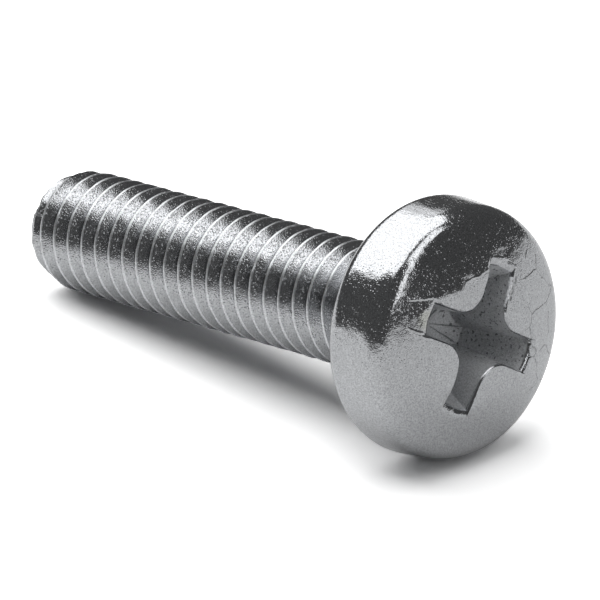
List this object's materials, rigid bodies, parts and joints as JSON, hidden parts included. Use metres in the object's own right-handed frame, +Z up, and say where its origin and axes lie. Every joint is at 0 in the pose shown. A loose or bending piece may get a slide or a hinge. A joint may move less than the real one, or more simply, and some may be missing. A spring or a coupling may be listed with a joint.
{
  "type": "machine screw",
  "caption": "Pan head machine screw with a cross recess and a right-hand thread up to the head, in bright zinc plated steel, lying on its side.",
  "frame": {"origin": "on the surface that the screw lies on, under the middle of its length and of its width", "axes": "+X along the screw's length, towards its head; +Z up. The screw's own axis lies in the XZ plane and rises 7.3 degrees towards the head, because the head is wider than the shank."},
  "size_m": [0.0292, 0.012, 0.0121],
  "materials": {
    "zinc_plated_steel": "bright zinc plating, finely grained"
  },
  "bodies": {
    "root": {"screw": "zinc_plated_steel"}
  },
  "joints": []
}
